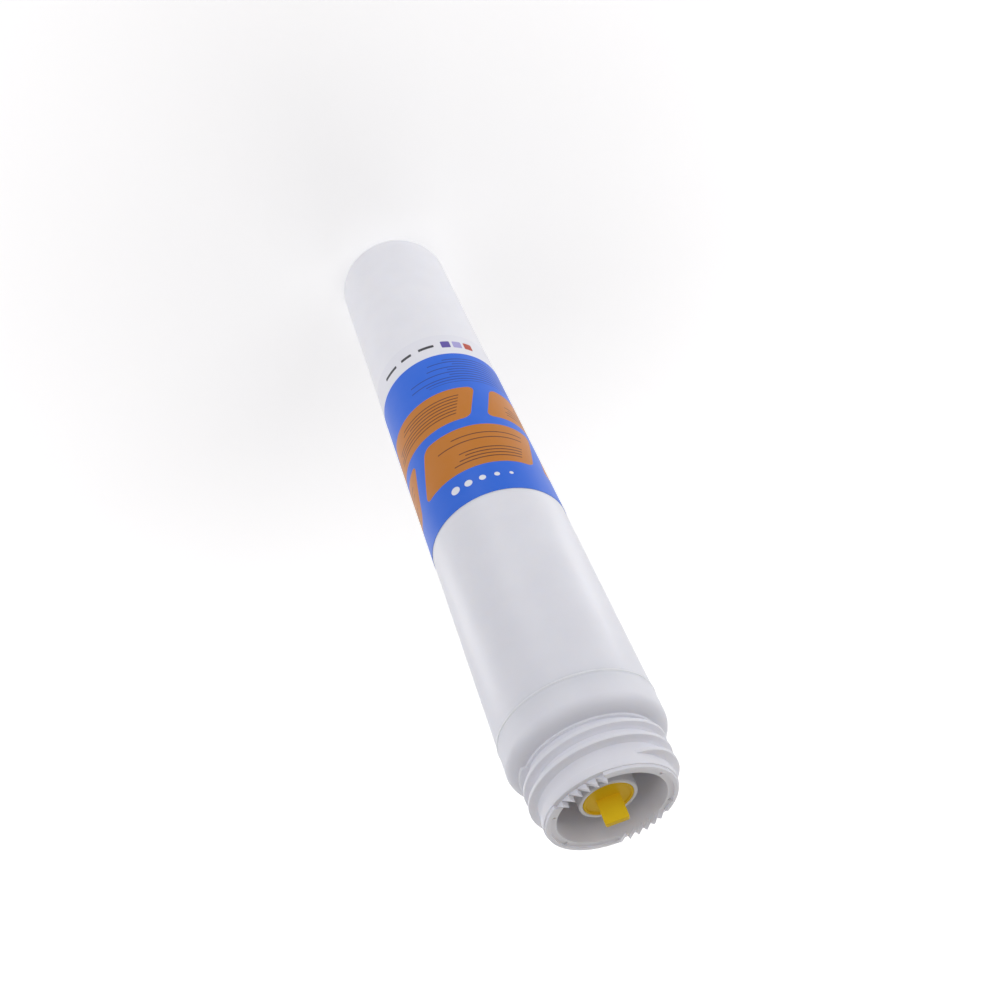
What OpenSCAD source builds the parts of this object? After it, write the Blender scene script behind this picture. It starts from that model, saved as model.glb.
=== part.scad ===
// Water softening filter cartridge: a slim white cylinder with a screw neck at its upper end.
// It stands on its closed end, with its axis on Z and its origin at the middle of the foot.
// All lengths are in millimetres and all angles in degrees.

/* [Shell] */
// Outside diameter of the body
body_d = 61; // [56:0.5:76]
// Height of the shell, from the foot to the weld line
shell_h = 326; // [220:1:420]
// Wall of the shell
shell_wall = 2.6; // [2.2:0.1:3.4]
// Thickness of the closed end, above the dished foot
floor_t = 3; // [2:0.1:6]
// Radius of the rounded edge round the foot
foot_r = 6; // [4:0.5:9]
// Diameter of the dish under the foot
dish_d = 40; // [20:1:44]
// Depth of the dish under the foot
dish_h = 1.2; // [0.5:0.1:2]
// Height of the tongue that enters the head
tongue_h = 4; // [2:0.5:6]
// Thickness of the tongue
tongue_t = 1.3; // [1:0.1:1.4]
// Gap round the tongue
tongue_gap = 0.05; // [0.02:0.01:0.1]

/* [Head] */
// Height of the straight skirt above the weld line
skirt_h = 10; // [8:0.5:14]
// Radius of the shoulder above the skirt
shoulder_r = 5; // [3:0.25:5]
// How far the weld bead stands proud of the body
bead_out = 0.25; // [0.1:0.05:0.5]
// Height of the weld bead
bead_h = 0.7; // [0.4:0.1:1.2]
// Diameter of the ring at the root of the neck
base_ring_d = 50.6; // [49.6:0.1:50.8]
// Height of the ring at the root of the neck
base_ring_h = 0.8; // [0.4:0.1:1.2]
// Height of the rim above the shoulder
neck_h = 21; // [19:0.5:30]
// Outside diameter of the neck's smooth collar
neck_d = 48.8; // [47:0.1:49.2]
// Height of the smooth collar, up to the rim's step
collar_h = 3.2; // [2.4:0.1:3.2]
// How far the threaded part of the neck lies in from the collar
root_step = 0.4; // [0.3:0.05:0.5]
// Inside diameter of the cup in the neck
cup_d = 40; // [38:0.5:42]
// Depth of the cup, from the rim to its floor
cup_depth = 28; // [24:0.5:28]
// Thickness of the cup's floor
cup_floor_t = 3; // [2:0.5:4]
// Wall of the cup below the shoulder, inside the skirt's hollow
cup_wall = 3.2; // [2.4:0.1:4]
// Thickness of the shoulder over the skirt's hollow
shoulder_t = 3; // [2.5:0.1:4]
// Diameter of the inlet holes in the cup's floor
inlet_d = 5; // [3:0.25:6]
// Number of inlet holes
inlet_count = 6; // [3:1:8]

/* [Thread] */
// Diameter over the thread's crest
thread_d = 54; // [52:0.1:56]
// Rise of the thread in one turn
thread_pitch = 5.4; // [5:0.1:5.8]
// Number of turns
thread_turns = 2.74; // [2:0.01:2.76]
// Height of the thread's lower end above the shoulder
thread_low = 0.2; // [0:0.1:1]
// Width of the crest
crest_w = 1.3; // [0.8:0.1:1.6]
// Width at the root
root_w = 2.6; // [2:0.1:3.4]
// Direction of the thread's lower end, counted from +X
thread_start = -54; // [-180:1:180]

/* [Rim] */
// How far the upstanding rim is set in from the collar
rim_step = 0.5; // [0.3:0.1:0.8]
// Height of the upstanding rim above the collar
rim_h = 1.2; // [0.8:0.1:1.6]
// Width of the rim's outer band
band_w = 1.6; // [1:0.1:2]
// Drop from the outer band to the inner ledge
ledge_drop = 0.6; // [0.3:0.1:0.8]
// Teeth in each of the two groups
teeth = 6; // [4:1:8]
// Angle from one tooth to the next
tooth_pitch = 9; // [7:0.5:10]
// How far the tips stand above the rim
tooth_rise = 1.2; // [0.4:0.1:1.6]
// How far the teeth are set in from the rim's outside
tooth_inset = 1.5; // [0.5:0.1:1.8]
// Width of the locating notches in the ledge
notch_w = 1.1; // [0.6:0.1:1.6]
// Length of a notch, from inside the outer band towards the cup
notch_l = 1.8; // [1:0.1:2.4]
// How far a notch cuts into the outer band
notch_in = 0.4; // [0.2:0.1:0.8]
// Angle from the first edge of a smooth arc to its first notch
notch_first = 15; // [10:1:25]
// Angle between the two notches of a smooth arc
notch_apart = 52; // [30:1:70]

/* [Port] */
// Outside diameter of the boss in the cup
boss_d = 21.4; // [21:0.1:24]
// Diameter of the outlet bore in the boss
port_d = 18.6; // [16:0.1:18.8]
// How far the boss ends below the rim
boss_below = 4.3; // [2:0.1:6]
// Depth of the outlet bore
port_depth = 17; // [14:0.5:17]
// Rounding of the boss's mouth
mouth_r = 0.5; // [0.2:0.1:0.6]
// Diameter of the throat between the bore and the riser
throat_d = 9; // [6:0.5:10]

/* [Shipping plug] */
// Clearance between the plug and the bore, on the radius
plug_gap = 0.05; // [0.01:0.01:0.1]
// Length of the plug inside the bore
plug_len = 12; // [8:0.5:13.5]
// Wall of the hollow plug
plug_wall = 1.3; // [0.8:0.1:2]
// Thickness of the plug's face
plug_face_t = 2; // [1.2:0.1:3]
// Depth of the shallow dish in the plug's face
plug_dish_h = 0.5; // [0.2:0.1:0.8]
// Width of the raised edge round the dish
plug_edge_w = 0.9; // [0.6:0.1:1.5]
// Height of the pull tab above the plug's edge
tab_h = 8.8; // [6:0.2:12]
// Width of the pull tab
tab_w = 8.6; // [6:0.2:11]
// Thickness of the pull tab
tab_t = 2.3; // [1.5:0.1:3.5]
// Rounding of the pull tab's corners
tab_r = 0.7; // [0.3:0.1:1]
// Direction of the pull tab's width, counted from +X
tab_turn = -28; // [-90:1:90]

/* [Riser] */
// Outside diameter of the riser tube
riser_d = 12; // [11:0.5:13]
// Wall of the riser tube
riser_wall = 1.5; // [1:0.1:2]
// Diameter of the riser's head
riser_head_d = 15; // [14.6:0.1:16]
// Length of the riser's head
riser_head_h = 10; // [9:0.5:11]
// Clearance round the riser's head and foot, on the radius
riser_gap = 0.1; // [0.05:0.01:0.2]
// Wall of the socket that holds the riser's head
socket_wall = 2.2; // [1.5:0.1:3]
// How far the socket reaches above the cup's floor, inside the boss
socket_rise = 1; // [0.6:0.1:1.6]
// Depth of the seal's groove
groove_depth = 1.3; // [1:0.1:1.4]
// Width of the seal's groove
groove_w = 2; // [1.8:0.1:2.4]
// Clearance round the seal's section
seal_gap = 0.03; // [0.01:0.01:0.1]

/* [Bed] */
// Height of the ribs above the upper plate
top_rib_h = 8; // [7.5:0.5:10]
// Height of the ribs under the lower plate
bottom_rib_h = 6; // [4:0.5:10]
// Thickness of both plates
plate_t = 2.5; // [2.4:0.1:4]
// Clearance of the inner pieces to the shell
plate_gap = 0.2; // [0.1:0.05:0.3]
// Number of ribs on a plate
ribs = 8; // [4:1:12]
// Thickness of a rib
rib_t = 1.6; // [1:0.1:2.4]
// Clear space between the socket and the upper ribs
rib_in_gap = 1; // [0.5:0.1:3]
// Clear space between the upper ribs and the shell
rib_out_gap = 3; // [1:0.5:5]
// Width of the lip seal's groove round the upper plate
lip_w = 1.4; // [1:0.1:1.6]
// Depth of the lip seal's groove
lip_depth = 1.6; // [1:0.1:2.5]
// Diameter of the flow holes in both plates
flow_d = 3; // [2:0.25:3.5]
// Rings of flow holes
flow_rings = 3; // [1:1:3]
// Flow holes in the inner ring, and more in each ring outside it
flow_count = 8; // [6:1:9]
// Distance from one ring of flow holes to the next
flow_step = 5.2; // [4.5:0.1:5.4]
// Wall of the lower plate's hub
hub_wall = 2; // [1.5:0.1:3]
// Height of the stop under the riser's foot
stop_h = 1; // [0.6:0.1:1.5]
// Thickness of the felt pads
pad_t = 4; // [2:0.5:8]
// Thickness of the nylon screens
mesh_t = 0.4; // [0.3:0.1:0.8]
// Thickness of the foam spacer
foam_t = 20; // [10:1:30]

/* [Label] */
// Height of the label's lower edge above the foot
label_z = 108; // [60:1:140]
// Height of the label
label_h = 120; // [60:1:140]
// Thickness of the label's film
label_t = 0.12; // [0.08:0.01:0.3]
// Thickness of the adhesive under the film
glue_t = 0.05; // [0.03:0.01:0.1]
// How far the label wraps round the body
label_wrap = 357; // [300:1:358]
// Direction of the label's open seam, counted from +X
label_seam = 60; // [20:1:70]

/* [Hidden] */
$fn = 96;
// A small overlap for cuts that run through a face
eps = 0.01;
// How far pieces of one moulding run into each other
sunk = 0.5;
// How far a drill or a cutter starts before a piece and runs on past it
drill_over = 1;
// How far the thread's root corners lie below the neck's surface
thread_sink = 0.6;
// Straight steps in one turn of the thread
turn_steps = 48;
// How far a smooth arc of the rim runs on into the teeth, in degrees
lap = 1;
// Play between two pieces that stack along the axis and would otherwise bind
rest_gap = 0.3;

body_r = body_d / 2;
bore_r = body_r - shell_wall;
inner_floor_z = dish_h + floor_t;

weld_z = shell_h;
shoulder_z = weld_z + skirt_h + shoulder_r;
rim_z = shoulder_z + neck_h;
neck_r = neck_d / 2;
root_r = neck_r - root_step;
cup_r = cup_d / 2;
cup_floor_z = rim_z - cup_depth;
head_under_z = cup_floor_z - cup_floor_t;
collar_z = rim_z - rim_h;
rim_r = neck_r - rim_step;
ledge_z = rim_z - ledge_drop;

boss_r = boss_d / 2;
boss_z = rim_z - boss_below;
port_r = port_d / 2;
port_floor_z = boss_z - port_depth;
head_r = riser_head_d / 2;
socket_r = head_r + riser_gap;
socket_top_z = cup_floor_z + socket_rise;
socket_depth = riser_head_h + rest_gap;
stub_r = socket_r + socket_wall;
stub_z = socket_top_z - socket_depth;
inlet_r = (boss_r + cup_r) / 2;

riser_r = riser_d / 2;
riser_top_z = socket_top_z - rest_gap;
groove_z = riser_top_z - riser_head_h / 2;
groove_r = head_r - groove_depth;

plate_r = bore_r - plate_gap;
bottom_plate_z = inner_floor_z + bottom_rib_h;
riser_foot_z = bottom_plate_z + stop_h;
bottom_pad_z = bottom_plate_z + plate_t;
bottom_mesh_z = bottom_pad_z + pad_t;
bed_z = bottom_mesh_z + mesh_t;
top_plate_top_z = head_under_z - top_rib_h;
top_plate_z = top_plate_top_z - plate_t;
foam_z = top_plate_z - foam_t;
top_pad_z = foam_z - pad_t;
top_mesh_z = top_pad_z - mesh_t;
bed_h = top_mesh_z - bed_z;
hub_r = riser_r + riser_gap + hub_wall;
flow_first_r = hub_r + flow_step / 2 + flow_d / 2;

white = [0.86, 0.86, 0.89];
yellow = [0.86, 0.68, 0.08];

// A ring from r_in to r_out, standing on z
module ring(r_out, r_in, z, h) {
    translate([0, 0, z])
    difference() {
        cylinder(r = r_out, h = h);
        translate([0, 0, -eps]) cylinder(r = r_in, h = h + 2 * eps);
    }
}

// Half section of a cylinder whose lower edge is rounded, from the axis outwards
module foot_section(r, h, edge) {
    translate([0, edge]) square([r, h - edge]);
    square([r - edge, h]);
    translate([r - edge, edge]) circle(r = edge);
}

// Half section of a cylinder whose upper edge is rounded, from the axis outwards
module crown_section(r, h, edge) {
    square([r, h - edge]);
    square([r - edge, h]);
    translate([r - edge, h - edge]) circle(r = edge);
}

// Moulded tube with a closed, dished foot and a tongue round its open end
module sump_shell() {
    color(white)
    rotate_extrude()
    difference() {
        union() {
            foot_section(body_r, shell_h, foot_r);
            translate([0, shell_h - sunk]) square([bore_r + tongue_t, tongue_h + sunk]);
        }
        translate([0, inner_floor_z])
            foot_section(bore_r, shell_h + tongue_h, foot_r - shell_wall);
        translate([0, -eps]) square([dish_d / 2, dish_h + eps]);
    }
}

// One turn of the thread is a trapezium swept along a right-hand helix
function thread_ring(turn) =
    let (a = thread_start + 360 * turn, z = thread_base_z + thread_pitch * turn)
    [for (p = thread_section) [p[0] * cos(a), p[0] * sin(a), z + p[1]]];

thread_steps = round(turn_steps * thread_turns);
thread_base_z = shoulder_z + thread_low;
thread_root_r = root_r - thread_sink;
thread_section = [
    [thread_root_r, -root_w / 2],
    [thread_d / 2, -crest_w / 2],
    [thread_d / 2, crest_w / 2],
    [thread_root_r, root_w / 2]
];

module thread() {
    n = len(thread_section);
    rings = [for (i = [0:thread_steps]) thread_ring(i * thread_turns / thread_steps)];
    points = [for (r = rings) for (p = r) p];
    sides = [for (i = [0:thread_steps - 1]) for (j = [0:n - 1])
        let (a = i * n + j, b = i * n + (j + 1) % n, c = a + n, d = b + n)
        for (t = [[a, b, c], [b, d, c]]) t];
    first = [for (j = [n - 1:-1:0]) j];
    last = [for (j = [0:n - 1]) thread_steps * n + j];
    polyhedron(points, concat(sides, [first], [last]), convexity = 8);
}

// Half section of a stretch of rim that stands on the collar, from inside the cup's wall out to r
module rim_section(r, z) {
    translate([cup_r - sunk, collar_z - sunk])
        square([r - cup_r + sunk, z - collar_z + sunk]);
}

group_span = teeth * tooth_pitch;
arc_span = 180 - group_span;

// A smooth arc of the rim: a high outer band, a lower inner ledge and two small notches
module smooth_arc(a) {
    difference() {
        rotate([0, 0, a - lap])
        rotate_extrude(angle = arc_span + 2 * lap)
        difference() {
            rim_section(rim_r, rim_z);
            translate([0, ledge_z]) square([rim_r - band_w, ledge_drop + sunk]);
        }
        for (i = [0:1])
            rotate([0, 0, a + notch_first + i * notch_apart])
            translate([rim_r - band_w + notch_in - notch_l, -notch_w / 2, ledge_z - ledge_drop])
                cube([notch_l, notch_w, 2 * ledge_drop + eps]);
    }
}

// Wedge cut out before a tooth: it starts at the tooth's steep face and rises clockwise,
// seen from above
module tooth_gap(a) {
    height = rim_h + tooth_rise;
    length = 2 * PI * (rim_r - tooth_inset + cup_r) / 2 * tooth_pitch / 360;
    rotate([0, 0, a])
    translate([0, 0, collar_z])
    rotate([90, 0, 90])
    linear_extrude(height = rim_r + drill_over)
        polygon([[0, 0], [0, 2 * height], [-2 * length, 2 * height]]);
}

// One of the two groups of saw teeth
module tooth_group(middle) {
    first = middle - group_span / 2;
    difference() {
        rotate([0, 0, first])
        rotate_extrude(angle = group_span - lap / 2)
            rim_section(rim_r - tooth_inset, rim_z + tooth_rise);
        for (i = [1:teeth]) tooth_gap(first + i * tooth_pitch);
    }
}

// Skirt, shoulder and neck, turned as one body
module head_body() {
    rotate_extrude()
    difference() {
        union() {
            translate([0, weld_z]) crown_section(body_r, skirt_h + shoulder_r, shoulder_r);
            translate([0, weld_z]) square([body_r + bead_out, bead_h]);
            translate([0, shoulder_z]) square([base_ring_d / 2, base_ring_h]);
            translate([0, shoulder_z]) square([root_r, collar_z - shoulder_z]);
            translate([0, collar_z - collar_h]) square([neck_r, collar_h]);
        }
        translate([0, weld_z - eps]) square([bore_r, head_under_z - weld_z + eps]);
        translate([cup_r + cup_wall, weld_z])
            square([bore_r - cup_r - cup_wall, shoulder_z - shoulder_t - weld_z]);
        translate([bore_r - eps, weld_z - eps])
            square([tongue_t + tongue_gap + eps, tongue_h + tongue_gap + eps]);
    }
}

// Boss with the outlet bore, and the socket that hangs below it
module boss_and_socket() {
    rotate_extrude() {
        translate([0, head_under_z]) crown_section(boss_r, boss_z - head_under_z, mouth_r);
        translate([0, stub_z]) square([stub_r, cup_floor_z - stub_z]);
    }
}

// Outside of the cap, before the cup is sunk into it
module threaded_neck() {
    head_body();
    thread();
    smooth_arc(group_span / 2 - 90);
    smooth_arc(group_span / 2 + 90);
    tooth_group(90);
    tooth_group(-90);
}

// Cap with the screw neck, the toothed rim, the cup and the outlet boss, moulded as one
module head_cap() {
    color(white)
    difference() {
        union() {
            difference() {
                threaded_neck();
                translate([0, 0, cup_floor_z])
                    cylinder(r = cup_r, h = cup_depth + tooth_rise + sunk);
            }
            boss_and_socket();
        }
        translate([0, 0, port_floor_z]) cylinder(r = port_r, h = port_depth + drill_over);
        translate([0, 0, stub_z - drill_over]) cylinder(r = throat_d / 2, h = boss_z - stub_z);
        translate([0, 0, stub_z - drill_over]) cylinder(r = socket_r, h = socket_depth + drill_over);
        for (i = [0:inlet_count - 1])
            rotate([0, 0, i * 360 / inlet_count])
            translate([inlet_r, 0, head_under_z - drill_over])
                cylinder(d = inlet_d, h = cup_floor_t + 2 * drill_over);
    }
}

// Hollow yellow plug that closes the outlet bore, with a flat tab to pull it by
module shipping_plug() {
    r = port_r - plug_gap;
    dish_r = r - plug_edge_w;
    z = boss_z - plug_len;
    color(yellow)
    union() {
        rotate_extrude()
        difference() {
            union() {
                translate([0, z]) foot_section(r, plug_len - mouth_r, mouth_r);
                translate([0, z + mouth_r]) crown_section(r, plug_len - mouth_r, mouth_r / 2);
            }
            translate([0, z - eps]) square([r - plug_wall, plug_len - plug_face_t + eps]);
            translate([0, boss_z - plug_dish_h]) square([dish_r, plug_dish_h + eps]);
        }
        translate([0, 0, boss_z - plug_dish_h - sunk])
        rotate([0, 0, tab_turn])
        rotate([90, 0, 0])
        translate([0, 0, -tab_t / 2])
        linear_extrude(height = tab_t) tab_outline(tab_h + plug_dish_h + sunk);
    }
}

// Outline of the pull tab, seen face on: square at its root and rounded at its free corners
module tab_outline(h) {
    translate([-tab_w / 2, 0]) square([tab_w, h - tab_r]);
    translate([-tab_w / 2 + tab_r, 0]) square([tab_w - 2 * tab_r, h]);
    for (side = [-1, 1])
        translate([side * (tab_w / 2 - tab_r), h - tab_r]) circle(r = tab_r);
}

// Printed film, wrapped round the shell with its seam at the back
module label() {
    color([0.25, 0.42, 0.86])
    rotate([0, 0, label_seam + (360 - label_wrap) / 2])
    rotate_extrude(angle = label_wrap)
    translate([body_r + glue_t, label_z]) square([label_t, label_h]);
}

// Tube that carries the softened water up from the lower plate to the outlet
module riser_tube() {
    inner_r = riser_r - riser_wall;
    color([0.80, 0.82, 0.84])
    rotate_extrude()
    difference() {
        union() {
            translate([inner_r, riser_foot_z]) square([riser_wall, riser_top_z - riser_foot_z]);
            translate([inner_r, riser_top_z - riser_head_h]) square([head_r - inner_r, riser_head_h]);
        }
        translate([groove_r, groove_z - groove_w / 2]) square([groove_depth + eps, groove_w]);
    }
}

// Rubber ring in the riser's head
module riser_seal() {
    gap_r = socket_r - groove_r;
    color([0.10, 0.10, 0.11])
    rotate_extrude()
    translate([groove_r + gap_r / 2, groove_z]) circle(r = gap_r / 2 - seal_gap);
}

// Rings of flow holes through a plate that stands on z
module flow_holes(z) {
    for (k = [0:flow_rings - 1]) {
        count = flow_count * (k + 1);
        for (i = [0:count - 1])
            rotate([0, 0, (i + 0.5) * 360 / count])
            translate([flow_first_r + k * flow_step, 0, z - drill_over])
                cylinder(d = flow_d, h = plate_t + 2 * drill_over, $fn = 24);
    }
}

// Radial ribs, from the hub outwards
module plate_ribs(z, h, r_in, r_out) {
    for (i = [0:ribs - 1])
        rotate([0, 0, i * 360 / ribs])
        translate([r_in, -rib_t / 2, z])
            cube([r_out - r_in, rib_t, h]);
}

// Plate that spreads the incoming water and holds the foam down
module top_plate() {
    groove_mid_z = top_plate_z + plate_t / 2;
    color([0.78, 0.80, 0.83])
    difference() {
        union() {
            ring(plate_r, riser_r + riser_gap, top_plate_z, plate_t);
            plate_ribs(top_plate_top_z - sunk, top_rib_h + sunk, stub_r + rib_in_gap, bore_r - rib_out_gap);
        }
        flow_holes(top_plate_z);
        ring(plate_r + drill_over, plate_r - lip_depth, groove_mid_z - lip_w / 2, lip_w);
    }
}

// Rubber ring that keeps the beads from passing round the upper plate
module top_plate_seal() {
    color([0.10, 0.10, 0.11])
    ring(bore_r - seal_gap, plate_r - lip_depth + seal_gap,
         top_plate_z + plate_t / 2 - lip_w / 2 + seal_gap, lip_w - 2 * seal_gap);
}

// Open foam that keeps the bed packed
module foam_spacer() {
    color([0.55, 0.58, 0.60])
    ring(bore_r - plate_gap, riser_r + plate_gap, foam_z, foam_t);
}

// Felt pad above the bed
module top_pad() {
    color([0.93, 0.93, 0.90])
    ring(bore_r - plate_gap, riser_r + plate_gap, top_pad_z, pad_t);
}

// Nylon screen above the bed
module top_mesh() {
    color([0.90, 0.91, 0.93])
    ring(bore_r - plate_gap, riser_r + plate_gap, top_mesh_z, mesh_t);
}

// Bed of softening resin beads
module resin_bed() {
    color([0.72, 0.46, 0.14])
    ring(bore_r - plate_gap, riser_r + plate_gap, bed_z, bed_h);
}

// Nylon screen under the bed
module bottom_mesh() {
    color([0.90, 0.91, 0.93])
    ring(bore_r - plate_gap, riser_r + plate_gap, bottom_mesh_z, mesh_t);
}

// Felt pad under the bed
module bottom_pad() {
    color([0.93, 0.93, 0.90])
    ring(bore_r - plate_gap, hub_r + plate_gap, bottom_pad_z, pad_t);
}

// Plate that carries the bed on its ribs and holds the riser's foot in its hub
module bottom_plate() {
    color([0.78, 0.80, 0.83])
    difference() {
        union() {
            ring(plate_r, riser_r - riser_wall, bottom_plate_z, plate_t);
            ring(hub_r, riser_r - riser_wall, bottom_plate_z, plate_t + pad_t);
            plate_ribs(inner_floor_z, bottom_rib_h + sunk, riser_r, bore_r - foot_r);
        }
        translate([0, 0, riser_foot_z]) cylinder(r = riser_r + riser_gap, h = plate_t + pad_t);
        flow_holes(bottom_plate_z);
    }
}

sump_shell();
head_cap();
shipping_plug();
label();
riser_tube();
riser_seal();
top_plate();
top_plate_seal();
foam_spacer();
top_pad();
top_mesh();
resin_bed();
bottom_mesh();
bottom_pad();
bottom_plate();
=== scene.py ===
"""Water softening filter cartridge: its looks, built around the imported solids.

The cartridge stands on its closed end with its axis on Z. Sizes are written in millimetres.
"""
import math

import bmesh
import bpy
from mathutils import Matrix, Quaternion, Vector


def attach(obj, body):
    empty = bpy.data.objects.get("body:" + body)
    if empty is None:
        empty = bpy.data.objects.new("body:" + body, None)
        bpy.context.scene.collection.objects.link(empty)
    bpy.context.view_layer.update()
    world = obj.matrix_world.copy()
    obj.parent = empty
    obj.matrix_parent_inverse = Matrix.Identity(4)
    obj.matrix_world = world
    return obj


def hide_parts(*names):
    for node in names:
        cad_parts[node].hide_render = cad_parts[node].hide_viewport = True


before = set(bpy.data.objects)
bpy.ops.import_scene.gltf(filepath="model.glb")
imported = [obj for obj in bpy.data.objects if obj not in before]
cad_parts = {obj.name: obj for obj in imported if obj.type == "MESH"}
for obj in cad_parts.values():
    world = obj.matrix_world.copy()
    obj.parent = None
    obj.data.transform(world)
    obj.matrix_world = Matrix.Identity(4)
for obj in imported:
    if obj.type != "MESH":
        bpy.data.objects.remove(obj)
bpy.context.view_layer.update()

MM = 0.001
SAME_PLACE = 0.002 * MM
COLUMNS = 240
COLUMN = 360 / COLUMNS

# Shell, in millimetres
BODY_R = 30.5
BORE_R = 27.9
WELD_Z = 326.0
WELD_BEAD_Z = 326.4
WELD_BEAD_R = 30.75
TONGUE_R = 29.2
TONGUE_H = 4.0
FOOT_ROUND = 6.0
FLOOR_Z = 4.2

# Head, in millimetres
SHOULDER_Z = 341.0
ROOT_R = 24.0
COLLAR_R = 24.4
COLLAR_LOW_Z = 357.6
COLLAR_Z = 360.8
CUP_R = 20.0
CUP_FLOOR_Z = 334.0
CUP_UNDER_Z = 331.0
HOLLOW_TOP_Z = 338.0
HOLLOW_R = 23.2
BOSS_R = 10.7
BOSS_Z = 357.7
PORT_R = 9.3
PORT_FLOOR_Z = 340.7
THROAT_R = 4.5
SOCKET_R = 7.6
SOCKET_TOP_Z = 335.0
STUB_R = 9.8
STUB_Z = 324.7
INLET_R = 2.5
INLET_RING_R = 15.35
INLETS = 6

# Rim
RIM_IN_R = 20.02
RIM_R = 23.9
RIM_Z = 362.0
LEDGE_R = 22.3
LEDGE_Z = 361.4
TOOTH_R = 22.4
TIP_Z = 363.2
TEETH = 6
TOOTH_PITCH = 9
GROUP_SPAN = TEETH * TOOTH_PITCH
ARC_SPAN = 180 - GROUP_SPAN
NOTCH_W = 1.1
NOTCH_L = 1.8
NOTCH_IN = 0.4
NOTCH_H = 1.2
NOTCH_TURNS = (15, 67)

# Thread
CREST_R = 27.0
THREAD_PITCH = 5.4
THREAD_TURNS = 2.74
THREAD_START = -54
THREAD_LOW_Z = 341.2

# Plug
PLUG_R = 9.25
PLUG_LOW_Z = 345.7
TAB_TOP_Z = 366.5
TAB_W = 8.6
TAB_T = 2.3
TAB_TURN = -28

# Label
LABEL_IN_R = 30.55
LABEL_OUT_R = 30.67
LABEL_Z = 108.0
LABEL_H = 120.0
LABEL_SEAM = 60
LABEL_WRAP = 357
MARGIN_H = 17.0
PANELS = 3
PANEL_SLANT = -0.34
RULE_W = 0.62
DOTS_H = 110.0


# Modelling by hand, in code

def start_fresh():
    """Leaves edit mode and clears the selection, so that the next tool acts on its own piece only."""
    if bpy.context.object and bpy.context.object.mode != "OBJECT":
        bpy.ops.object.mode_set(mode="OBJECT")
    bpy.ops.object.select_all(action="DESELECT")


def open_for_edit(piece):
    start_fresh()
    piece.select_set(True)
    bpy.context.view_layer.objects.active = piece
    bpy.ops.object.mode_set(mode="EDIT")


def pick(parts, test):
    """Selects, in edit mode, the verts, edges or faces whose middle, in millimetres, passes the test."""
    mesh = bpy.context.edit_object.data
    bpy.context.tool_settings.mesh_select_mode = (parts == "verts", parts == "edges", parts == "faces")
    bpy.ops.mesh.select_all(action="DESELECT")
    form = bmesh.from_edit_mesh(mesh)
    for part in getattr(form, parts):
        corners = [part] if parts == "verts" else part.verts
        middle = sum((c.co for c in corners), Vector()) / len(corners) / MM
        part.select_set(test(middle))
    form.select_flush_mode()
    bmesh.update_edit_mesh(mesh)


def name_piece(piece, name):
    piece.name = piece.data.name = name
    return piece


def section(name, points):
    """A half section as one face in the XZ plane; each point is radius, height and corner rounding."""
    start_fresh()
    bpy.ops.mesh.primitive_circle_add(vertices=len(points), radius=MM, fill_type="NGON")
    piece = name_piece(bpy.context.object, name)
    open_for_edit(piece)
    form = bmesh.from_edit_mesh(piece.data)
    form.verts.ensure_lookup_table()
    for corner, (r, z, _) in enumerate(points):
        bpy.ops.mesh.select_all(action="DESELECT")
        form = bmesh.from_edit_mesh(piece.data)
        form.verts.ensure_lookup_table()
        vert = form.verts[corner]
        vert.select_set(True)
        bpy.ops.transform.translate(value=Vector((r, 0, z)) * MM - vert.co)
    for rounding in sorted({p[2] for p in points if len(p) > 2 and p[2]}):
        corners = [Vector((r, 0, z)) for r, z, wanted in points if wanted == rounding]
        pick("verts", lambda place: any((place - c).length < 0.01 for c in corners))
        bpy.ops.mesh.bevel(offset=rounding * MM, segments=14 if rounding > 2 else 4, affect="VERTICES")
    return piece


def close_up():
    """Welds doubled points and turns all faces outwards, in edit mode."""
    bpy.ops.mesh.select_all(action="SELECT")
    bpy.ops.mesh.remove_doubles(threshold=SAME_PLACE)
    bpy.ops.mesh.dissolve_degenerate(threshold=SAME_PLACE)
    bpy.ops.mesh.select_all(action="SELECT")
    bpy.ops.mesh.normals_make_consistent(inside=False)


def turned(name, points):
    """A form turned on the lathe: the half section goes once round the axis."""
    piece = section(name, points)
    bpy.ops.mesh.select_all(action="SELECT")
    bpy.ops.mesh.delete(type="ONLY_FACE")
    pick("edges", lambda middle: abs(middle.x) < 0.001)
    bpy.ops.mesh.delete(type="EDGE")
    bpy.ops.mesh.select_all(action="SELECT")
    bpy.ops.mesh.spin(steps=COLUMNS, angle=math.tau, center=(0, 0, 0), axis=(0, 0, 1))
    close_up()
    start_fresh()
    return piece


def face_azimuth(piece, degrees):
    """Turns a piece about the axis, counter-clockwise seen from above, and fixes its place in its mesh."""
    start_fresh()
    piece.select_set(True)
    bpy.context.view_layer.objects.active = piece
    piece.rotation_euler.z = math.radians(degrees)
    bpy.ops.object.transform_apply(rotation=True)
    return piece


def sector(name, points, start, span):
    """A ring sector: the half section goes round the axis from start over span degrees, with both ends closed."""
    piece = section(name, points)
    bpy.ops.mesh.select_all(action="SELECT")
    bpy.ops.mesh.spin(steps=round(span / COLUMN), angle=-math.radians(span), center=(0, 0, 0), axis=(0, 0, 1))
    close_up()
    start_fresh()
    return face_azimuth(piece, start)


def copied(piece, degrees):
    """A copy with its own mesh, turned about the axis."""
    start_fresh()
    piece.select_set(True)
    bpy.context.view_layer.objects.active = piece
    bpy.ops.object.duplicate()
    return face_azimuth(bpy.context.object, degrees)


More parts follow.
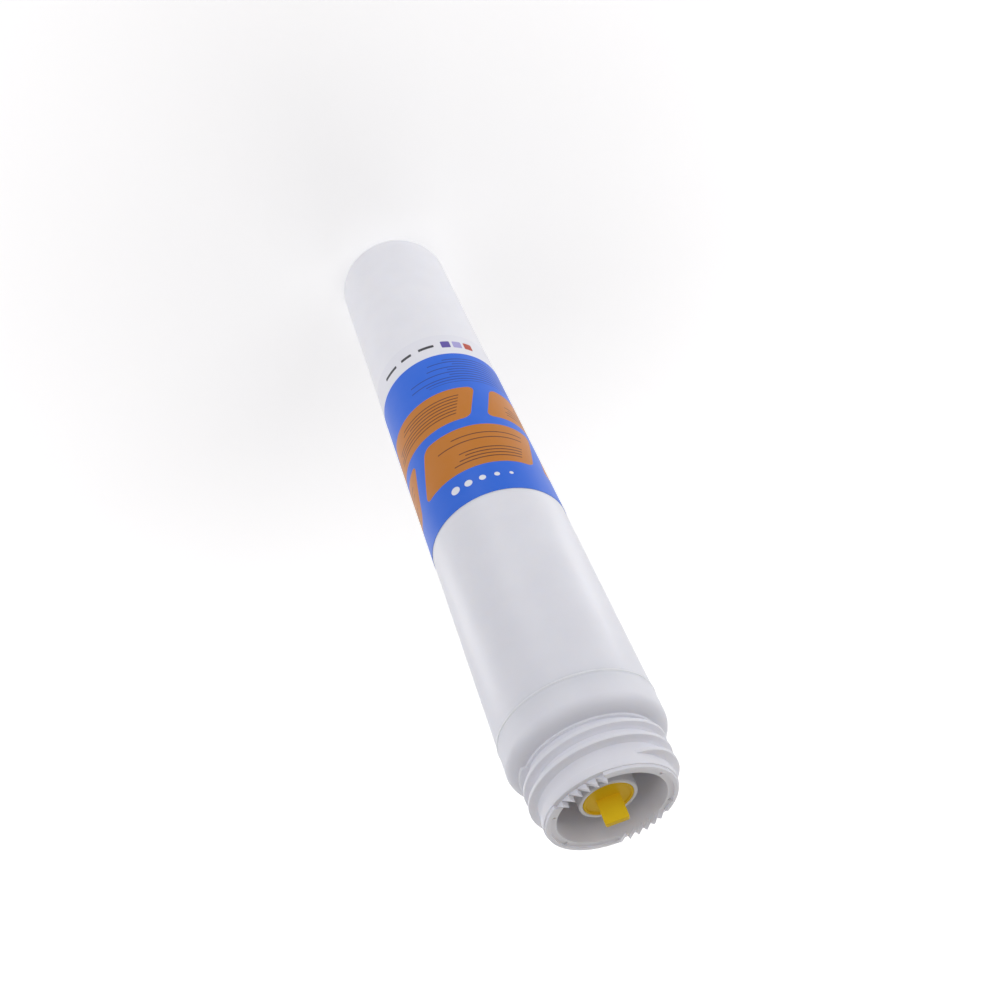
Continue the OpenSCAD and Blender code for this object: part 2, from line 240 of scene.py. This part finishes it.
def combine(body, parts, operation):
    """Joins the parts, which stand clear of each other, into one tool and unites it with the body or cuts it out."""
    start_fresh()
    for part in parts:
        part.select_set(True)
    bpy.context.view_layer.objects.active = parts[0]
    if len(parts) > 1:
        bpy.ops.object.join()
    tool = bpy.context.object
    start_fresh()
    body.select_set(True)
    bpy.context.view_layer.objects.active = body
    cut = body.modifiers.new("combine", "BOOLEAN")
    cut.object = tool
    cut.operation = operation
    cut.solver = "EXACT"
    bpy.ops.object.modifier_apply(modifier=cut.name)
    bpy.data.objects.remove(tool)
    open_for_edit(body)
    close_up()
    start_fresh()
    return body


def smooth(piece, degrees):
    """Smooth shading up to that angle, with normals weighted by face size so that flats stay flat."""
    start_fresh()
    piece.select_set(True)
    bpy.context.view_layer.objects.active = piece
    bpy.ops.object.shade_smooth_by_angle(angle=math.radians(degrees))
    weighted = piece.modifiers.new("flats", "WEIGHTED_NORMAL")
    weighted.keep_sharp = True
    bpy.ops.object.modifier_apply(modifier=weighted.name)
    return piece


# The pieces

def shell_tube():
    """Moulded tube: rounded foot with a shallow dish, and a thin tongue that the head is welded over."""
    return turned("shell_tube", [
        (0, 1.2, 0), (20, 1.2, 0.6), (20, 0, 0.5), (BODY_R, 0, FOOT_ROUND),
        (BODY_R, WELD_Z, 0.3), (TONGUE_R, WELD_Z, 0), (TONGUE_R, WELD_Z + TONGUE_H, 0.4),
        (BORE_R, WELD_Z + TONGUE_H, 0.4), (BORE_R, FLOOR_Z, 3.4), (0, FLOOR_Z, 0),
    ])


def cap_core():
    """Skirt with its weld bead, shoulder, neck, cup, boss and the socket below, as one turned form."""
    return turned("welded_cap", [
        (29.25, WELD_Z, 0), (30.45, WELD_Z, 0.05), (WELD_BEAD_R, WELD_BEAD_Z - 0.25, 0.12),
        (WELD_BEAD_R, WELD_BEAD_Z + 0.25, 0.12), (BODY_R, WELD_BEAD_Z + 0.5, 0.15), (BODY_R, SHOULDER_Z, 5), (25.3, SHOULDER_Z, 0.3), (25.3, 341.8, 0.25),
        (ROOT_R, 341.8, 0.3), (ROOT_R, COLLAR_LOW_Z, 0.08), (COLLAR_R, COLLAR_LOW_Z, 0.08),
        (COLLAR_R, COLLAR_Z, 0.15), (CUP_R, COLLAR_Z, 0), (CUP_R, CUP_FLOOR_Z, 0.6),
        (BOSS_R, CUP_FLOOR_Z, 0.6), (BOSS_R, BOSS_Z, 0.5), (PORT_R, BOSS_Z, 0.3),
        (PORT_R, PORT_FLOOR_Z, 0.3), (THROAT_R, PORT_FLOOR_Z, 0.3), (THROAT_R, SOCKET_TOP_Z, 0.15),
        (SOCKET_R, SOCKET_TOP_Z, 0.15), (SOCKET_R, STUB_Z, 0.3), (STUB_R, STUB_Z, 0.3),
        (STUB_R, CUP_UNDER_Z, 0.4), (HOLLOW_R, CUP_UNDER_Z, 0.4), (HOLLOW_R, HOLLOW_TOP_Z, 0.6),
        (BORE_R, HOLLOW_TOP_Z, 0.6), (BORE_R, 330.05, 0), (29.25, 330.05, 0),
    ])


def screw_thread():
    """One coarse right-hand ridge: filleted at its root, run out bluntly below and in a long wedge above."""
    half = [(23.6, 1.75, 0), (24.15, 1.5, 0), (24.85, 1.05, 0.35), (CREST_R, 0.65, 0.28)]
    outline = [(r, -h, rounding) for r, h, rounding in half] + [(r, h, rounding) for r, h, rounding in half[::-1]]
    piece = section("thread", [(r, THREAD_LOW_Z + h, rounding) for r, h, rounding in outline])
    start_fresh()
    ring = len(piece.data.vertices)
    face_azimuth(piece, THREAD_START)
    sweep = piece.modifiers.new("sweep", "SCREW")
    sweep.angle = math.tau * THREAD_TURNS
    sweep.screw_offset = THREAD_PITCH * THREAD_TURNS * MM
    sweep.steps = sweep.render_steps = round(COLUMNS * THREAD_TURNS) + 1
    bpy.ops.object.modifier_apply(modifier=sweep.name)
    rings = len(piece.data.vertices) // ring
    open_for_edit(piece)
    for steps, first, way in ((4, 0, 1), (20, rings - 1, -1)):
        for step in range(steps):
            at = first + way * step
            bpy.ops.mesh.select_all(action="DESELECT")
            form = bmesh.from_edit_mesh(piece.data)
            form.verts.ensure_lookup_table()
            for vert in form.verts[at * ring:(at + 1) * ring]:
                vert.select_set(True)
            form.select_flush_mode()
            rise = math.sin(math.pi / 2 * (step + 0.2) / steps)
            inward = (ROOT_R + (CREST_R - ROOT_R) * rise) / CREST_R
            bpy.ops.transform.resize(value=(inward, inward, 1), center_override=(0, 0, 0))
    bpy.context.tool_settings.mesh_select_mode = (False, True, False)
    bpy.ops.mesh.select_all(action="DESELECT")
    bpy.ops.mesh.select_non_manifold()
    bpy.ops.mesh.fill_holes(sides=0)
    close_up()
    start_fresh()
    return piece


def smooth_arc(start):
    """Stretch of rim with a high outer band and a lower inner ledge."""
    low = COLLAR_Z - 0.3
    return sector("arc", [
        (RIM_IN_R, low, 0), (RIM_R, low, 0), (RIM_R, RIM_Z, 0.2), (LEDGE_R, RIM_Z, 0.12),
        (LEDGE_R, LEDGE_Z, 0.1), (RIM_IN_R, LEDGE_Z, 0.12),
    ], start - COLUMN, ARC_SPAN + 2 * COLUMN)


def notch(turn):
    """Cutter for one locating notch, which runs from inside the outer band across the ledge."""
    start_fresh()
    bpy.ops.mesh.primitive_cube_add(size=MM, location=((LEDGE_R + NOTCH_IN - NOTCH_L / 2) * MM, 0, LEDGE_Z * MM),
                                    scale=(NOTCH_L, NOTCH_W, NOTCH_H))
    bpy.ops.object.transform_apply()
    piece = name_piece(bpy.context.object, "notch")
    open_for_edit(piece)
    pick("edges", lambda middle: middle.z < LEDGE_Z)
    bpy.ops.mesh.bevel(offset=0.12 * MM, segments=2)
    start_fresh()
    return face_azimuth(piece, turn)


def saw_tooth(start):
    """One tooth: a steep face at its start and a long slope down to the collar."""
    low = COLLAR_Z - 0.3
    height = TIP_Z - COLLAR_Z
    piece = sector("tooth", [(RIM_IN_R, low, 0), (TOOTH_R, low, 0), (TOOTH_R, TIP_Z, 0), (RIM_IN_R, TIP_Z, 0)],
                   0, TOOTH_PITCH)
    open_for_edit(piece)
    columns = round(TOOTH_PITCH / COLUMN)
    for column in range(1, columns + 1):
        turn = column * COLUMN
        pick("verts", lambda place: place.z > TIP_Z - 0.01
             and abs(math.degrees(math.atan2(place.y, place.x)) - turn) < 0.1)
        bpy.ops.transform.translate(value=(0, 0, -height * column / columns * MM))
    pick("edges", lambda middle: middle.z > TIP_Z - 0.01)
    bpy.ops.mesh.bevel(offset=0.22 * MM, segments=3, affect="EDGES")
    close_up()
    start_fresh()
    return face_azimuth(piece, start)


def inlet(turn):
    """Cutter for one inlet hole in the cup's floor."""
    start_fresh()
    bpy.ops.mesh.primitive_cylinder_add(vertices=48, radius=INLET_R * MM, depth=8 * MM,
                                        location=(INLET_RING_R * MM, 0, 332.5 * MM))
    bpy.ops.object.transform_apply(location=True)
    return face_azimuth(name_piece(bpy.context.object, "inlet"), turn)


def welded_cap():
    """The head as one moulding: turned core, thread, rim arcs and saw teeth, with notches and inlets cut."""
    arc_start = GROUP_SPAN / 2 - 90
    arc = combine(smooth_arc(arc_start), [notch(arc_start + turn) for turn in NOTCH_TURNS], "DIFFERENCE")
    tooth = saw_tooth(90 - GROUP_SPAN / 2)

    def teeth(*places):
        return [copied(tooth, group + place * TOOTH_PITCH) for group in (0, 180) for place in places]

    piece = cap_core()
    combine(piece, [inlet(k * 360 / INLETS) for k in range(INLETS)], "DIFFERENCE")
    # Neighbours on the rim are united one after the other, so that no two in one step touch
    combine(piece, [arc, copied(arc, 180)] + teeth(1, 3), "UNION")
    combine(piece, teeth(0, 2, 4), "UNION")
    combine(piece, teeth(5), "UNION")
    bpy.data.objects.remove(tooth)
    return combine(piece, [screw_thread()], "UNION")


def pull_plug():
    """Hollow plug with a dished face and a flat tab to pull it by."""
    dish_r, dish_z = PLUG_R - 0.9, BOSS_Z - 0.5
    piece = turned("pull_plug", [
        (0, BOSS_Z - 2, 0), (7.95, BOSS_Z - 2, 0.5), (7.95, PLUG_LOW_Z, 0.3), (PLUG_R, PLUG_LOW_Z, 0.5),
        (PLUG_R, BOSS_Z, 0.25), (dish_r, BOSS_Z, 0.25), (dish_r, dish_z, 0.2), (0, dish_z, 0),
    ])
    low = dish_z - 0.5
    start_fresh()
    bpy.ops.mesh.primitive_cube_add(size=MM, location=(0, 0, (low + TAB_TOP_Z) / 2 * MM),
                                    scale=(TAB_W, TAB_T, TAB_TOP_Z - low))
    bpy.ops.object.transform_apply()
    tab = name_piece(bpy.context.object, "tab")
    open_for_edit(tab)
    pick("edges", lambda middle: middle.z > TAB_TOP_Z - 0.01 and abs(middle.x) > TAB_W / 2 - 0.01)
    bpy.ops.mesh.bevel(offset=0.7 * MM, segments=4, affect="EDGES")
    pick("edges", lambda middle: abs(abs(middle.y) - TAB_T / 2) < 0.01)
    bpy.ops.mesh.bevel(offset=0.25 * MM, segments=3, affect="EDGES")
    close_up()
    start_fresh()
    return combine(piece, [face_azimuth(tab, TAB_TURN)], "UNION")


def label_wrap():
    """Printed film round the tube, open by a narrow seam."""
    return sector("label_wrap", [
        (LABEL_IN_R, LABEL_Z, 0), (LABEL_OUT_R, LABEL_Z, 0),
        (LABEL_OUT_R, LABEL_Z + LABEL_H, 0), (LABEL_IN_R, LABEL_Z + LABEL_H, 0),
    ], LABEL_SEAM + (360 - LABEL_WRAP) / 2, LABEL_WRAP)


# Materials

def linear(hex_colour):
    """An sRGB hex colour as the linear one that a shader takes."""
    parts = [int(hex_colour[i:i + 2], 16) / 255 for i in (1, 3, 5)]
    return tuple(p / 12.92 if p <= 0.04045 else ((p + 0.055) / 1.055) ** 2.4 for p in parts) + (1,)


def add(tree, kind, inputs, **settings):
    """Adds a node with its settings; an input is linked where it gets a socket. Returns the node's outputs."""
    made = tree.nodes.new(kind)
    for key, value in settings.items():
        setattr(made, key, value)
    for key, value in inputs.items():
        if isinstance(value, bpy.types.NodeSocket):
            tree.links.new(value, made.inputs[key])
        else:
            made.inputs[key].default_value = value
    return made.outputs


def blank(name, **shader_values):
    """A new material: its tree, its shader's inputs and the place on the piece, in metres."""
    made = bpy.data.materials.new(name)
    made.use_nodes = True
    tree = made.node_tree
    shader = tree.nodes["Principled BSDF"].inputs
    for key, value in shader_values.items():
        shader[key.replace("_", " ")].default_value = value
    return made, tree, shader, add(tree, "ShaderNodeTexCoord", {})["Object"]


def per_mm(size):
    """Noise scale for features of that size in millimetres."""
    return 1 / (size * MM)


def moulded(name, pale, deep, rough, grain, weld_highlight_z=None, **shader_values):
    """Injection-moulded plastic: cloudy colour from the melt's flow, a fine satin grain and soft sink marks.

    weld is the height, in millimetres, of the spun seam; within 0.55 mm of it the colour is painted white, a painted
    highlight for the light that the seam's bead catches.
    """
    made, tree, shader, place = blank(name, **shader_values)
    cloud = add(tree, "ShaderNodeTexNoise", {"Vector": place, "Scale": per_mm(14), "Detail": 3.0})["Fac"]
    fine = add(tree, "ShaderNodeTexNoise", {"Vector": place, "Scale": per_mm(grain), "Detail": 2.0})["Fac"]
    soft = add(tree, "ShaderNodeTexNoise", {"Vector": place, "Scale": per_mm(9), "Detail": 1.0})["Fac"]
    colour = add(tree, "ShaderNodeMix", {0: cloud, 6: linear(pale), 7: linear(deep)}, data_type="RGBA")[2]
    if weld_highlight_z:
        # Painted highlight: within 0.55 mm of the seam's height the colour is painted white, for the light that its
        # bead catches
        height = add(tree, "ShaderNodeSeparateXYZ", {0: place})[2]
        away = add(tree, "ShaderNodeMath", {0: height, 1: weld_highlight_z * MM, 2: 0.55 * MM}, operation="COMPARE")[0]
        colour = add(tree, "ShaderNodeMix", {0: away, 6: colour, 7: linear("#FFFFFF")}, data_type="RGBA")[2]
    tree.links.new(colour, shader["Base Color"])
    satin = add(tree, "ShaderNodeMapRange", {"Value": fine, "To Min": rough - 0.06, "To Max": rough + 0.06})[0]
    tree.links.new(satin, shader["Roughness"])
    sink = add(tree, "ShaderNodeBump", {"Height": soft, "Strength": 0.25, "Distance": 0.05 * MM})[0]
    skin = add(tree, "ShaderNodeBump", {"Height": fine, "Normal": sink, "Strength": 0.3,
                                        "Distance": 0.02 * MM})[0]
    tree.links.new(skin, shader["Normal"])
    return made


def felted(name, pale, deep, fibre):
    """Felt: short fibres in all directions, dull and a little uneven in tone."""
    made, tree, shader, place = blank(name, Roughness=0.95, Sheen_Weight=0.3)
    warp = add(tree, "ShaderNodeTexNoise", {"Vector": place, "Scale": per_mm(3), "Detail": 2.0})["Color"]
    bent = add(tree, "ShaderNodeVectorMath", {0: warp, 1: (0.002, 0.002, 0.002)}, operation="MULTIPLY")[0]
    moved = add(tree, "ShaderNodeVectorMath", {0: place, 1: bent}, operation="ADD")[0]
    hairs = add(tree, "ShaderNodeTexNoise", {"Vector": moved, "Scale": per_mm(fibre), "Detail": 6.0,
                                             "Roughness": 0.7})["Fac"]
    colour = add(tree, "ShaderNodeMix", {0: hairs, 6: linear(deep), 7: linear(pale)}, data_type="RGBA")[2]
    tree.links.new(colour, shader["Base Color"])
    nap = add(tree, "ShaderNodeBump", {"Height": hairs, "Strength": 0.8, "Distance": 0.3 * MM})[0]
    tree.links.new(nap, shader["Normal"])
    return made


def grains(name, pale, deep, size, depth, rough, **shader_values):
    """Round cells or beads of one size, each a little different in tone, with painted shade darkening each towards
    its rim, where the hollows between them lie.
    """
    made, tree, shader, place = blank(name, Roughness=rough, **shader_values)
    cells = add(tree, "ShaderNodeTexVoronoi", {"Vector": place, "Scale": per_mm(size)})
    tone = add(tree, "ShaderNodeSeparateColor", {0: cells["Color"]})[0]
    colour = add(tree, "ShaderNodeMix", {0: tone, 6: linear(deep), 7: linear(pale)}, data_type="RGBA")[2]
    # Painted shade: each cell is painted darker towards its rim, nearly black in the hollows between the domes
    shade = add(tree, "ShaderNodeMapRange", {"Value": cells["Distance"], "From Max": 0.75,
                                             "To Min": 1.0, "To Max": 0.35})[0]
    darker = add(tree, "ShaderNodeMix", {0: shade, 6: linear("#17120C"), 7: colour}, data_type="RGBA")[2]
    tree.links.new(darker, shader["Base Color"])
    dome = add(tree, "ShaderNodeBump", {"Height": cells["Distance"], "Strength": 0.9,
                                        "Distance": depth * MM}, invert=True)[0]
    tree.links.new(dome, shader["Normal"])
    return made


def woven_screen():
    """Nylon screen: plain weave, drawn at 0.8 mm a thread, coarser than the real 0.1 mm, so that it shows."""
    made, tree, shader, place = blank("woven nylon screen", Roughness=0.5)
    threads = []
    for way in ("X", "Y"):
        threads.append(add(tree, "ShaderNodeTexWave", {"Vector": place, "Scale": per_mm(0.8) / math.tau * 2},
                           bands_direction=way)["Fac"])
    over = add(tree, "ShaderNodeMath", {0: threads[0], 1: threads[1]}, operation="MAXIMUM")[0]
    colour = add(tree, "ShaderNodeMix", {0: over, 6: linear("#9AA0A6"), 7: linear("#EDEFF2")},
                 data_type="RGBA")[2]
    tree.links.new(colour, shader["Base Color"])
    weave = add(tree, "ShaderNodeBump", {"Height": over, "Strength": 0.8, "Distance": 0.15 * MM})[0]
    tree.links.new(weave, shader["Normal"])
    return made


def printed_film():
    """Printed film: blue ground, two rows of slanted orange panels with plain rules, dots, a white margin."""
    made, tree, shader, place = blank("printed polypropylene film", Coat_Weight=0.05, Coat_Roughness=0.2,
                                      Specular_IOR_Level=0.22)

    def maths(operation, *values):
        return add(tree, "ShaderNodeMath", dict(enumerate(values)), operation=operation)[0]

    def soft_step(value, edge):
        """1 below an edge and 0 above it, with the 0.15 mm of softness that ink has."""
        return add(tree, "ShaderNodeMapRange", {"Value": value, "From Min": edge + 0.08,
                                                "From Max": edge - 0.08})[0]

    # The print's own place: along is millimetres round the tube from the label's middle, up is its height
    turned_place = add(tree, "ShaderNodeMapping",
                       {"Vector": place, "Rotation": (0, 0, math.radians(180 - LABEL_SEAM))})[0]
    x, y, z = add(tree, "ShaderNodeSeparateXYZ", {0: turned_place})
    along = maths("MULTIPLY", maths("ARCTAN2", y, x), LABEL_OUT_R)
    up = maths("MULTIPLY_ADD", z, 1 / MM, -LABEL_Z)
    # Each slanted panel's own place, which starts again from panel to panel
    pitch = math.tau * LABEL_OUT_R / PANELS
    slanted = maths("MULTIPLY_ADD", up, PANEL_SLANT, along)
    across = maths("WRAP", slanted, pitch / 2, -pitch / 2)
    between = maths("WRAP", maths("ADD", slanted, pitch / 2), pitch / 2, -pitch / 2)

    def oblong(run, middle, width, low, high, corner):
        """A rectangle with round corners: the run's middle and width, from one height to another."""
        beside = maths("SUBTRACT", maths("ABSOLUTE", maths("SUBTRACT", run, middle)), width / 2 - corner)
        beyond = maths("SUBTRACT", maths("ABSOLUTE", maths("SUBTRACT", up, (low + high) / 2)),
                       (high - low) / 2 - corner)
        beside, beyond = maths("MAXIMUM", beside, 0.0), maths("MAXIMUM", beyond, 0.0)
        square = maths("MULTIPLY_ADD", beside, beside, maths("MULTIPLY", beyond, beyond))
        return soft_step(maths("SQRT", square), corner)

    def rules(run, middle, width, low, high, spacing, seed):
        """Rows of plain ruled line with ragged ends."""
        row = maths("FLOOR", maths("DIVIDE", up, spacing))
        ragged = add(tree, "ShaderNodeTexWhiteNoise", {"W": maths("ADD", row, seed)},
                     noise_dimensions="1D")["Value"]
        within = maths("ABSOLUTE", maths("SUBTRACT", maths("FLOORED_MODULO", up, spacing), spacing / 2))
        line = soft_step(within, RULE_W / 2)
        reach = maths("MULTIPLY_ADD", ragged, -width * 0.4, middle + width / 2)
        return maths("MULTIPLY", maths("MULTIPLY", line, soft_step(maths("SUBTRACT", run, reach), 0.0)),
                     oblong(run, middle, width, low, high, 0.1))

    def print_over(base, mask, ink):
        return add(tree, "ShaderNodeMix", {0: mask, 6: base, 7: linear(ink)}, data_type="RGBA")[2]

    ground, deep_blue, orange, brown, white = "#2469DC", "#1A3E98", "#C4771A", "#5E3210", "#EDEEF2"
    ink = print_over(linear("#EAEAEF"), soft_step(maths("MULTIPLY", up, -1.0), -MARGIN_H), ground)
    ink = print_over(ink, rules(along, -14.0, 62.0, 21.0, 41.0, 2.1, 3), deep_blue)
    ink = print_over(ink, oblong(across, 0.0, pitch - 8.0, 46.0, 69.0, 3.5), orange)
    ink = print_over(ink, oblong(between, 0.0, pitch - 8.0, 75.0, 102.0, 3.5), orange)
    ink = print_over(ink, rules(across, 0.0, 42.0, 51.0, 64.5, 2.1, 11), brown)
    ink = print_over(ink, rules(between, 0.0, 44.0, 79.0, 87.0, 3.6, 23), brown)
    ink = print_over(ink, rules(between, -4.0, 36.0, 90.0, 98.5, 2.1, 37), brown)
    upright = maths("WRAP", along, pitch / 2, -pitch / 2)
    for step in range(5):
        size = 4.2 - 0.6 * step
        ink = print_over(ink, oblong(upright, 14.0 - 6.4 * step, size, DOTS_H - size / 2, DOTS_H + size / 2,
                                     size / 2 - 0.01), white)
    for middle, shade in ((-20.0, "#B8442A"), (-14.0, "#A9A3D6"), (-8.0, "#5A49A0")):
        ink = print_over(ink, oblong(along, middle, 4.6, 6.0, 11.5, 0.6), shade)
    for middle, width in ((2.0, 8.0), (13.0, 6.0), (24.0, 9.0)):
        ink = print_over(ink, oblong(along, middle, width, 7.8, 9.8, 0.4), "#3A3A40")

    cloud = add(tree, "ShaderNodeTexNoise", {"Vector": place, "Scale": per_mm(7), "Detail": 4.0})["Fac"]
    worn = add(tree, "ShaderNodeMapRange", {"Value": cloud, "To Min": 0.0, "To Max": 0.03})[0]
    ink = add(tree, "ShaderNodeMix", {0: worn, 6: ink, 7: linear("#D9DCE4")}, data_type="RGBA")[2]
    tree.links.new(ink, shader["Base Color"])
    fine = add(tree, "ShaderNodeTexNoise", {"Vector": place, "Scale": per_mm(0.5), "Detail": 3.0})["Fac"]
    gloss = add(tree, "ShaderNodeMapRange", {"Value": fine, "To Min": 0.32, "To Max": 0.44})[0]
    tree.links.new(gloss, shader["Roughness"])
    soft = add(tree, "ShaderNodeTexNoise", {"Vector": place, "Scale": per_mm(12), "Detail": 1.0})["Fac"]
    lay = add(tree, "ShaderNodeBump", {"Height": soft, "Strength": 0.3, "Distance": 0.1 * MM})[0]
    tree.links.new(lay, shader["Normal"])
    return made


# Polypropylene, injection moulded with a satin skin: cool white, faintly cloudy, soft highlights, and a painted
# highlight along the seam's bead.
# Light goes a few millimetres into it, so that thin edges and the cup's inside look soft and warm
shell_white = moulded("satin white polypropylene", "#F1F1F4", "#EAEAEE", 0.42, 0.45, weld_highlight_z=WELD_BEAD_Z,
                      IOR=1.49, Specular_IOR_Level=0.45, Subsurface_Weight=0.6,
                      Subsurface_Radius=(1.0, 0.9, 0.8), Subsurface_Scale=3 * MM)
# Low-density polyethylene: waxy, saturated yellow, a little uneven in tone
plug_yellow = moulded("waxy yellow polyethylene", "#FFD92A", "#F2C71C", 0.5, 0.6, IOR=1.51,
                      Specular_IOR_Level=0.08)
# Natural grey polypropylene of the inner mouldings: duller and slightly darker than the shell
inner_grey = moulded("grey polypropylene", "#B9BDC3", "#A9AEB5", 0.5, 0.5, IOR=1.49)
# Nitrile rubber: black, matt, with a dusty moulded skin
seal_rubber = moulded("black nitrile rubber", "#1C1C1F", "#101012", 0.72, 0.3, IOR=1.52)
film = printed_film()
# Open-cell polyurethane foam: cells of about 1 mm, with painted shade in the hollows between them
foam = grains("open-cell foam", "#858C92", "#5E656B", 1.1, 0.5, 0.95)
# Needled polyester felt: off-white, fibrous and dull
felt = felted("needled polyester felt", "#F0EFEA", "#C9C7BE", 0.5)
screen = woven_screen()
# Softening resin: translucent amber beads of 0.6 mm, packed close, with painted shade in the gaps between them
resin = grains("amber resin beads", "#C98A34", "#8A5216", 0.65, 0.25, 0.25, IOR=1.55)

FINISHES = {
    "riser_tube": inner_grey, "top_plate": inner_grey, "bottom_plate": inner_grey,
    "riser_seal": seal_rubber, "top_plate_seal": seal_rubber,
    "foam_spacer": foam, "top_pad": felt, "bottom_pad": felt,
    "top_mesh": screen, "bottom_mesh": screen, "resin_bed": resin,
}
for node_name, finish in FINISHES.items():
    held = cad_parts[node_name].data.materials
    held.clear()
    held.append(finish)

VISIBLE = (
    (shell_tube, "sump_shell", "cartridge", "white_plastic", shell_white, 40),
    (welded_cap, "head_cap", "cartridge", "white_plastic", shell_white, 32),
    (label_wrap, "label", "cartridge", "label_film", film, 40),
    (pull_plug, "shipping_plug", "plug", "yellow_plastic", plug_yellow, 32),
)
dressed = bpy.data.collections.new("dressed cartridge")
for make, node_name, body, slot, finish, smooth_to in VISIBLE:
    piece = smooth(make(), smooth_to)
    dressed.objects.link(piece)
    piece.data.materials.clear()
    piece.data.materials.append(finish)
    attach(piece, body)
    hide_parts(node_name)


# Studio

def floor():
    """Pale floor, whitened for the camera and for glosses by a glow that grows further out from the cartridge, which
    keeps the cartridge's own shadow near it.
    """
    start_fresh()
    bpy.ops.mesh.primitive_plane_add(size=6, location=(0, 0, -0.3 * MM))
    bpy.ops.object.transform_apply(location=True)
    piece = name_piece(bpy.context.object, "studio_floor")
    made = bpy.data.materials.new("pale studio floor")
    made.use_nodes = True
    tree = made.node_tree
    tree.nodes.clear()
    seen = add(tree, "ShaderNodeLightPath", {})
    direct = add(tree, "ShaderNodeMath", {0: seen["Is Camera Ray"], 1: seen["Is Glossy Ray"]},
                 operation="MAXIMUM")[0]
    lit = add(tree, "ShaderNodeBsdfDiffuse", {"Color": linear("#F4F4F4")})[0]
    away = add(tree, "ShaderNodeVectorMath", {0: add(tree, "ShaderNodeTexCoord", {})["Object"]},
               operation="LENGTH")["Value"]
    white = add(tree, "ShaderNodeMapRange", {"Value": away, "From Min": 0.05, "From Max": 0.5,
                                             "To Min": 0.42, "To Max": 0.8})[0]
    glow = add(tree, "ShaderNodeEmission", {"Color": (1, 1, 1, 1), "Strength": white})[0]
    both = add(tree, "ShaderNodeAddShader", {0: lit, 1: glow})[0]
    shown = add(tree, "ShaderNodeMixShader", {0: direct, 1: lit, 2: both})[0]
    add(tree, "ShaderNodeOutputMaterial", {"Surface": shown})
    piece.data.materials.append(made)


def surround():
    """Even light from all round, dimmer overhead; white where the camera or a gloss sees it."""
    world = bpy.data.worlds.new("studio")
    bpy.context.scene.world = world
    world.use_nodes = True
    tree = world.node_tree
    tree.nodes.clear()
    seen = add(tree, "ShaderNodeLightPath", {})
    direct = add(tree, "ShaderNodeMath", {0: seen["Is Camera Ray"], 1: seen["Is Glossy Ray"]},
                 operation="MAXIMUM")[0]
    way = add(tree, "ShaderNodeTexCoord", {})["Generated"]
    rise = add(tree, "ShaderNodeSeparateXYZ", {0: way})[2]
    level = add(tree, "ShaderNodeMapRange", {"Value": rise, "From Min": 0.0, "From Max": 0.75,
                                             "To Min": 1.03, "To Max": 0.22})[0]
    tint = add(tree, "ShaderNodeMix", {0: rise, 6: linear("#E4EAFF"), 7: linear("#FFF4E4")}, data_type="RGBA")[2]
    around = add(tree, "ShaderNodeBackground", {"Color": tint, "Strength": level})[0]
    white = add(tree, "ShaderNodeBackground", {"Color": (1, 1, 1, 1), "Strength": 1.0})[0]
    shown = add(tree, "ShaderNodeMixShader", {0: direct, 1: around, 2: white})[0]
    add(tree, "ShaderNodeOutputWorld", {"Surface": shown})


def softbox(name, place, aim, size, power, lights=None):
    """A large soft lamp at place, turned to aim. It lights everything, or only the pieces of one collection."""
    start_fresh()
    bpy.ops.object.light_add(type="AREA", location=place)
    lamp = bpy.context.object
    lamp.name = name
    lamp.data.size = size
    lamp.data.energy = power
    lamp.visible_camera = False
    if lights:
        lamp.light_linking.receiver_collection = lights
    lamp.rotation_mode = "QUATERNION"
    lamp.rotation_quaternion = (Vector(aim) - Vector(place)).to_track_quat("-Z", "Y")


def camera():
    """The photograph's viewing place: above the neck, rolled so that the neck points down and right."""
    start_fresh()
    place, aim = Vector((-0.1173, -0.2932, 0.5239)), Vector((-0.0063, 0.0024, 0.2037))
    bpy.ops.object.camera_add(location=place)
    eye = bpy.context.object
    eye.data.sensor_width = 36
    eye.data.lens = 36
    eye.data.clip_start = 0.01
    eye.rotation_mode = "QUATERNION"
    eye.rotation_quaternion = (aim - place).to_track_quat("-Z", "Y") @ Quaternion((0, 0, 1), math.radians(156.47))
    bpy.context.scene.camera = eye


floor()
surround()
softbox("key", (-1.15, -0.16, 0.36), (0, 0, 0.1), 0.8, 3.3)
softbox("fill", (0.75, -0.95, 0.4), (0, 0, 0.15), 0.9, 2.4)
softbox("back", (0.35, 1.1, 0.5), (0, 0, 0.15), 0.8, 2.6)
for turn in (150, 250, 350, 70):
    softbox("low", (0.3 * math.cos(math.radians(turn)), 0.3 * math.sin(math.radians(turn)), 0.06),
            (0, 0, 0.05), 0.12, 0.18, lights=dressed)
camera()
bpy.context.scene.view_settings.view_transform = "Standard"
